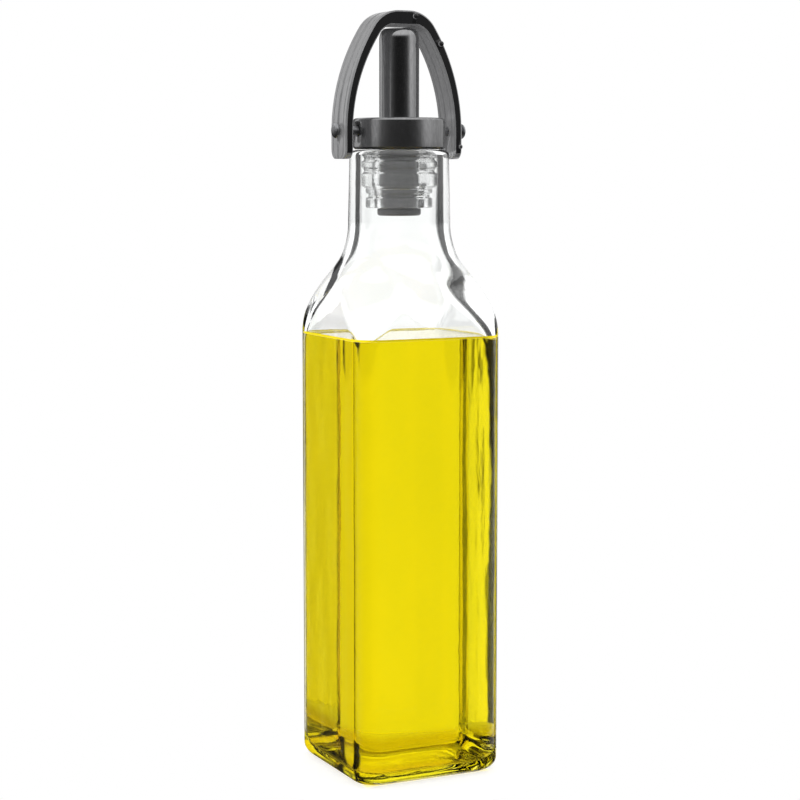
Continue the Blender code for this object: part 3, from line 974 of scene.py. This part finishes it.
class OIL_OT_stage(bpy.types.Operator):
    """Set the pale floor, the soft studio light and the camera"""

    bl_idname = "oil_dispenser.stage"
    bl_label = "Stage"

    def execute(self, context):
        turn = context.scene.oil_dispenser_stage.camera_turn
        ahead = (-math.sin(turn), math.cos(turn))
        right = (math.cos(turn), math.sin(turn))
        self.floor(context.scene.oil_dispenser_stage)
        self.world(context.scene, math.atan2(ahead[1], ahead[0]))
        self.lamps(context.scene, ahead, right)
        self.camera(context.scene, ahead)
        context.scene.view_settings.view_transform = "Standard"
        return {"FINISHED"}

    def floor(self, stage):
        """A round table top. No gloss mirrors it, because the photograph shows no edge of a table
        in the sides of the glass."""
        mesh = bmesh.new()
        bmesh.ops.create_circle(mesh, cap_ends=True, segments=128, radius=stage.table_radius)
        floor = new_piece("product_table", mesh, [table_acrylic(stage)])
        floor.visible_glossy = False

    def world(self, scene, ahead):
        """A studio room seen through the glass: pale backdrops with dark gaps between them, which draw
        the dark lines at the edges of clear glass. What the room shows in reflections is dimmer, and
        plain white is seen behind the object."""
        stage = scene.oil_dispenser_stage
        world = bpy.data.worlds.new("studio")
        scene.world = world
        world.use_nodes = True
        tree = world.node_tree
        way = add_node(tree, "TexCoord").outputs["Generated"]
        facing = {"Vector": way, "Angle": math.pi / 2 - ahead}
        faced = add_node(tree, "VectorRotate", {"rotation_type": "Z_AXIS"}, facing)
        parts = add_node(tree, "SeparateXYZ", {}, {"Vector": faced.outputs["Vector"]}).outputs
        bearing = add_node(tree, "Math", {"operation": "ARCTAN2"}, {0: parts["X"], 1: parts["Y"]})
        limits = {"From Min": -math.pi, "From Max": math.pi, "Value": bearing.outputs["Value"]}
        turned = add_node(tree, "MapRange", {}, limits).outputs["Result"]

        rooms = {}
        for name, pattern, darkest, brightest in (
            ("low", ROOM_LOW, stage.gap_light, stage.backdrop_light),
            ("high", ROOM_HIGH, stage.gap_light, stage.backdrop_light),
            ("softboxes", ROOM_MIRROR, 0.0, stage.mirror_light),
            ("dusk", ROOM_DUSK, stage.dusk_light, stage.mirror_light),
        ):
            stops = []
            for degrees, share in pattern:
                grey = darkest + (brightest - darkest) * share
                stops.append((0.5 + degrees / 360, (grey, grey, grey, 1)))
            rooms[name] = add_node(tree, "ValToRGB", {}, {"Fac": turned}, stops).outputs["Color"]

        # How high a way points is its Z, from -1 straight down to 1 straight up
        rises = {}
        for name, low, high in (
            ("above_oil", -0.079, -0.070),
            ("above_horizon", -0.02, 0.02),
            ("upwards", 0.03, 0.07),
            ("overhead", 0.3, 0.5),
        ):
            limits = {"From Min": low, "From Max": high, "Value": parts["Z"]}
            rises[name] = add_node(tree, "MapRange", {}, limits).outputs["Result"]

        mixed = {}
        for name, rise, below, above in (
            ("backdrops", "above_oil", rooms["low"], rooms["high"]),
            ("brightening", "upwards", 1.0, stage.ceiling_light),
            ("standing", "above_horizon", rooms["dusk"], rooms["softboxes"]),
        ):
            inputs = {"Factor": rises[rise], "A": below, "B": above}
            mixed[name] = add_node(tree, "Mix", {}, inputs).outputs["Result"]
        factors = {0: mixed["backdrops"], 1: mixed["brightening"]}
        seen = add_node(tree, "Math", {"operation": "MULTIPLY"}, factors).outputs["Value"]
        ceiling = {"Factor": rises["overhead"], "A": mixed["standing"], "B": stage.mirror_light}
        mirrored = add_node(tree, "Mix", {}, ceiling).outputs["Result"]

        rays = add_node(tree, "LightPath").outputs
        level = 0.0
        for kind, light in (
            ("Is Diffuse Ray", stage.room_light),
            ("Is Glossy Ray", mirrored),
            ("Is Transmission Ray", seen),
            ("Is Camera Ray", 1.0),
        ):
            choice = {"Factor": rays[kind], "A": level, "B": light}
            level = add_node(tree, "Mix", {}, choice).outputs["Result"]
        feed(tree.nodes["Background"], {"Color": linear("#ffffff"), "Strength": level})

    def lamps(self, scene, ahead, right):
        """Two upright softboxes that fill the matt surfaces, the stronger one on the left."""
        width = 0.5
        height = 0.9
        distance = 0.75
        middle = 0.12
        for name, degrees, power in (("softbox_right", 105, 8.0), ("softbox_left", -65, 9.0)):
            data = bpy.data.lights.new(name, "AREA")
            data.shape = "RECTANGLE"
            data.size = width
            data.size_y = height
            data.energy = power
            data.use_shadow = False
            lamp = bpy.data.objects.new(name, data)
            scene.collection.objects.link(lamp)
            side = math.sin(math.radians(degrees))
            front = math.cos(math.radians(degrees))
            x = distance * (side * right[0] - front * ahead[0])
            y = distance * (side * right[1] - front * ahead[1])
            lamp.location = (x, y, middle)
            lamp.rotation_euler = (math.radians(90), 0, math.atan2(x, -y))
            lamp.visible_transmission = False
            lamp.visible_glossy = False

    def camera(self, scene, ahead):
        """A camera that looks a little down on the bottle, as in the photograph, where the bottle is
        slightly narrower at its foot. The shift only moves the bottle to its place in the frame."""
        stage = scene.oil_dispenser_stage
        frame_pixels = 800
        focal_pixels = 2043.4
        middle_across = 399.2
        middle_down = 387.2
        sensor = 36
        data = bpy.data.cameras.new("camera")
        data.sensor_width = sensor
        data.lens = sensor * focal_pixels / frame_pixels
        data.shift_x = (frame_pixels / 2 - middle_across) / frame_pixels
        data.shift_y = (middle_down - frame_pixels / 2) / frame_pixels
        data.clip_start = 0.01
        camera = bpy.data.objects.new("camera", data)
        scene.collection.objects.link(camera)
        away = -stage.camera_distance
        camera.location = (away * ahead[0], away * ahead[1], stage.camera_height)
        camera.rotation_euler = (math.pi / 2 - stage.camera_tilt, 0, stage.camera_turn)
        scene.camera = camera


# Settings and panel


def number(name, description, default, **kind):
    """A number that the user can change."""
    return bpy.props.FloatProperty(name=name, description=description, default=default, **kind)


def metres(name, description, default):
    """A length in metres that the user can change."""
    return number(name, description, default, precision=5, subtype="DISTANCE", unit="LENGTH")


def angle(name, description, degrees):
    """An angle that the user can change, from its degrees."""
    return number(name, description, math.radians(degrees), subtype="ANGLE", unit="ROTATION")


def colour(name, description, code):
    """A colour that the user can change, from its sRGB hex code."""
    return bpy.props.FloatVectorProperty(
        name=name,
        description=description,
        default=linear(code)[:3],
        min=0,
        max=1,
        size=3,
        subtype="COLOR",
    )


class OilDispenserSizes(bpy.types.PropertyGroup):
    """Sizes of the bottle and its oil"""

    body_side: metres("Body Side", "Width across the flats", 2 * GLASS_TOP.x)
    body_corner: metres("Body Corner", "Radius of the upright edges", 0.0070)
    heel_radius: metres("Heel", "Radius between the sides and the base", 0.0045)
    wall: metres("Wall", "Thickness of the glass", 0.0026)
    floor_height: metres("Floor", "Height of the glass floor at its edge", 0.0034)
    floor_corner: metres("Floor Corner", "Radius between the floor and the walls", 0.0046)
    neck_radius: metres("Neck", "Outer radius of the neck at its foot", 0.0162)
    bore_radius: metres("Bore", "Inner radius of the neck", 0.0123)
    neck_foot: metres("Neck Foot", "Height where the neck begins", 0.1764)
    shoulder_start: metres("Shoulder", "Height where the shoulder begins", 0.1439)
    corners_start: metres("Corners Start", "Height where the corners begin to fade", 0.1399)
    corners_end: metres("Corners End", "Height where the section is round", 0.1659)
    cavity_corners_start: metres("Cavity Start", "Height where its corners fade", 0.1375)
    cavity_corners_end: metres("Cavity End", "Height where the cavity is round", 0.158)
    oil_level: metres("Oil Level", "Height of the oil's surface", OIL_TOP.z)
    meniscus: metres("Meniscus", "How far the oil climbs the wall", 0.0006)


class OilDispenserLooks(bpy.types.PropertyGroup):
    """Colours and finishes"""

    wave_depth: metres("Wave Depth", "Depth of the mould's waves in the glass", 0.0002)
    oil_colour: colour("Oil", "What the oil passes on a long way through it", "#fbf718")
    base_colour: colour("Base", "The oil's light in the glass of the base", "#e8dc22")
    surface_colour: colour("Oil Surface", "What the oil scatters at its level", "#ecd916")
    oil_density: number("Oil Density", "How strongly the oil absorbs, per metre", 120.0)
    shell_colour: colour("Collar", "The collar's plating", "#9a9a9b")
    tube_colour: colour("Tube", "The pouring tube's plating", "#a6a6a7")
    strap_colour: colour("Strap", "The bail's plating", "#8c8c8d")
    # The strap edge colour is painted dark reflection on the front and back edges, and the nubs' own
    # black.
    painted_dark_edge_and_nub_colour: colour("Strap Edge", "The bail's edges, where no plating shows", "#1a1a1b")


class OilDispenserStage(bpy.types.PropertyGroup):
    """Camera and light"""

    camera_turn: angle("Camera Turn", "Angle of the camera round the bottle", -25.7)
    camera_tilt: angle("Camera Tilt", "How far the camera looks down", 6.0)
    camera_distance: metres("Camera Distance", "From the bottle's axis", 0.65)
    camera_height: metres("Camera Height", "Above the floor", 0.1909)
    backdrop_light: number("Backdrop Light", "Brightness of the backdrops", 1.15)
    gap_light: number("Gap Light", "Brightness between the backdrops", 0.03)
    ceiling_light: number("Ceiling Light", "How much brighter it is higher up", 1.4)
    mirror_light: number("Mirror Light", "Brightness of the mirrored softboxes", 1.0)
    dusk_light: number("Dusk Light", "Brightness mirrored below the softboxes", 0.04)
    room_light: number("Room Light", "Brightness of the room on matt surfaces", 0.45)
    table_radius: metres("Table Radius", "Radius of the round table top", 0.05)
    table_glow_under: colour("Glow Under", "Light that the oil casts below", "#cdb90c")
    table_glow: number("Table Glow", "How brightly the table is lit from below", 0.34)
    bottle_glow: number("Bottle Glow", "How brightly it is lit under the bottle", 0.9)


class OIL_PT_pieces(bpy.types.Panel):
    """Lists the pieces and the settings"""

    bl_label = "Oil Dispenser"
    bl_idname = "OIL_PT_pieces"
    bl_space_type = "VIEW_3D"
    bl_region_type = "UI"
    bl_category = "Oil Dispenser"

    def draw(self, context):
        layout = self.layout
        for name in PIECES:
            layout.operator("oil_dispenser." + name)
        for group in GROUPS:
            box = layout.box()
            settings = getattr(context.scene, group)
            for key in settings.__annotations__:
                box.prop(settings, key)


PIECES = (
    *("glass_bottle", "oil_fill", "collar", "pouring_tube"),
    *("ribbed_seal", "bail", "pins", "stage"),
)
GROUPS = {
    "oil_dispenser_sizes": OilDispenserSizes,
    "oil_dispenser_looks": OilDispenserLooks,
    "oil_dispenser_stage": OilDispenserStage,
}
CLASSES = (
    *GROUPS.values(),
    OIL_OT_glass_bottle,
    OIL_OT_oil_fill,
    OIL_OT_collar,
    OIL_OT_pouring_tube,
    OIL_OT_ribbed_seal,
    OIL_OT_bail,
    OIL_OT_pins,
    OIL_OT_stage,
    OIL_PT_pieces,
)


def register():
    for kind in CLASSES:
        bpy.utils.register_class(kind)
    for name, group in GROUPS.items():
        setattr(bpy.types.Scene, name, bpy.props.PointerProperty(type=group))


def unregister():
    for name in GROUPS:
        delattr(bpy.types.Scene, name)
    for kind in reversed(CLASSES):
        bpy.utils.unregister_class(kind)


def main():
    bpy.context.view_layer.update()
    register()
    for name in PIECES:
        getattr(bpy.ops.oil_dispenser, name)()


if __name__ == "__main__":
    main()
